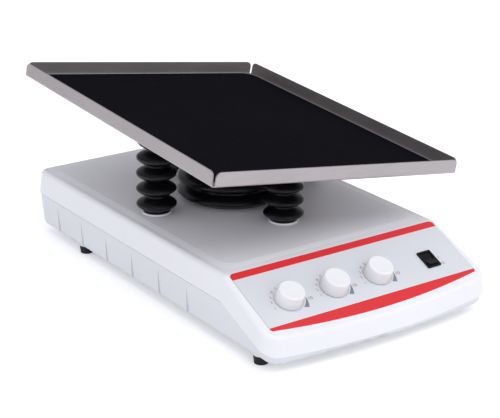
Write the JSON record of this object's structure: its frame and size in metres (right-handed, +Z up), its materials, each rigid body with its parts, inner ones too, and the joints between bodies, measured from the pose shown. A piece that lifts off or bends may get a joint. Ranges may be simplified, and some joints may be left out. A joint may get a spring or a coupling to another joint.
{
  "type": "platform shaker",
  "caption": "Bench-top shaker with a lipped tray that tilts both ways on a central pivot above a low housing with a sloped control panel.",
  "frame": {"origin": "point on the bench straight under the pivot of the platform", "axes": "+Z up, -Y out of the front where the control panel is, +X to the right of the panel"},
  "size_m": [0.3164, 0.4849, 0.2096],
  "materials": {
    "cover": "fine satin",
    "tub": "fine satin",
    "overlay": "printed film, grey with a red band above and below",
    "bellows": "smooth",
    "feet": "matt",
    "mat": "dimpled",
    "tray": "brushed stainless",
    "steel": "turned and zinc plated",
    "castings": "machined",
    "bushes": "sintered bronze",
    "motor_can": "satin black",
    "knobs": "moulded",
    "black_plastic": "moulded",
    "rocker": "moulded",
    "board": "circuit board"
  },
  "bodies": {
    "housing": {"bottom_tub": "tub", "top_cover": "cover", "panel_overlay": "overlay", "foot_front_left": "feet", "foot_front_right": "feet", "foot_rear_left": "feet", "foot_rear_right": "feet", "foot_screws": "steel", "housing_screws": "steel", "bridge_plate": "castings", "bridge_standoffs": "castings", "bridge_screws": "steel", "pivot_column": "castings", "column_screws": "steel", "lower_fork": "castings", "lower_fork_bushes": "bushes", "pitch_gearmotor": "motor_can", "roll_gearmotor": "motor_can", "pitch_motor_bracket": "steel", "roll_motor_bracket": "steel", "power_supply": "black_plastic", "control_board": "board", "speed_potentiometer": "castings", "tilt_potentiometer": "castings", "timer_potentiometer": "castings", "potentiometer_nuts": "steel", "switch_frame": "black_plastic", "mains_inlet": "black_plastic", "inlet_blades": "bushes", "bellows_left": "bellows", "bellows_right": "bellows", "bellows_front": "bellows", "bellows_rear": "bellows", "large_bellows": "bellows", "large_bellows_ring": "black_plastic"},
    "cross": {"cross": "steel"},
    "platform": {"upper_fork": "castings", "upper_fork_bushes": "bushes", "hub_plate": "castings", "pitch_rod_socket": "black_plastic", "roll_rod_socket": "black_plastic", "tray": "tray", "tray_mat": "mat", "tray_screws": "steel"},
    "pitch_crank": {"pitch_arm": "castings", "pitch_output_shaft": "steel", "pitch_crank_pin": "steel"},
    "pitch_rod": {"pitch_rod": "steel"},
    "roll_crank": {"roll_arm": "castings", "roll_output_shaft": "steel", "roll_crank_pin": "steel"},
    "roll_rod": {"roll_rod": "steel"},
    "speed_knob": {"speed_knob": "knobs", "speed_spindle": "steel"},
    "tilt_knob": {"tilt_knob": "knobs", "tilt_spindle": "steel"},
    "timer_knob": {"timer_knob": "knobs", "timer_spindle": "steel"},
    "power_rocker": {"power_rocker": "rocker"}
  },
  "joints": [
    {"name": "platform_pitch", "type": "hinge", "parent": "housing", "child": "cross", "pos_m": [0, 0, 0.1422], "axis": [1, 0, 0], "range_deg": [-18.34, 11.66], "deforming": ["bellows_left", "bellows_right", "bellows_front", "bellows_rear", "large_bellows"]},
    {"name": "platform_roll", "type": "hinge", "parent": "cross", "child": "platform", "pos_m": [0, 0, 0.1422], "axis": [0, 0.9983, 0.0583], "range_deg": [-23.58, 6.42], "deforming": ["bellows_left", "bellows_right", "bellows_front", "bellows_rear", "large_bellows"]},
    {"name": "pitch_crank_turn", "type": "hinge", "parent": "housing", "child": "pitch_crank", "pos_m": [0, 0, 0.04], "axis": [1, 0, 0], "range_deg": [-18.34, 11.66]},
    {"name": "pitch_rod_turn", "type": "hinge", "parent": "pitch_crank", "child": "pitch_rod", "pos_m": [0, -0.03394, 0.03802], "axis": [1, 0, 0], "range_deg": [-11.66, 18.34]},
    {"name": "roll_crank_turn", "type": "hinge", "parent": "housing", "child": "roll_crank", "pos_m": [0, 0, 0.04], "axis": [0, 1, 0], "range_deg": [-23.58, 6.42]},
    {"name": "roll_rod_turn", "type": "hinge", "parent": "roll_crank", "child": "roll_rod", "pos_m": [-0.03362, 0, 0.04507], "axis": [0, 1, 0], "range_deg": [-6.42, 23.58]},
    {"name": "speed_turn", "type": "hinge", "parent": "housing", "child": "speed_knob", "pos_m": [-0.0904, -0.23042, 0.05566], "axis": [0, -0.4131, 0.9107], "range_deg": [-150, 150]},
    {"name": "tilt_turn", "type": "hinge", "parent": "housing", "child": "tilt_knob", "pos_m": [-0.0347, -0.23042, 0.05566], "axis": [0, -0.4131, 0.9107], "range_deg": [-150, 150]},
    {"name": "timer_turn", "type": "hinge", "parent": "housing", "child": "timer_knob", "pos_m": [0.021, -0.23042, 0.05566], "axis": [0, -0.4131, 0.9107], "range_deg": [-150, 150]},
    {"name": "power_switch", "type": "hinge", "parent": "housing", "child": "power_rocker", "pos_m": [0.0899, -0.23042, 0.05566], "axis": [1, 0, 0], "range_deg": [0, 20]}
  ],
  "couplings": [
    {"joint": "pitch_crank_turn", "follows": "platform_pitch", "ratio": 1},
    {"joint": "pitch_rod_turn", "follows": "platform_pitch", "ratio": -1},
    {"joint": "roll_crank_turn", "follows": "platform_roll", "ratio": 1},
    {"joint": "roll_rod_turn", "follows": "platform_roll", "ratio": -1}
  ]
}
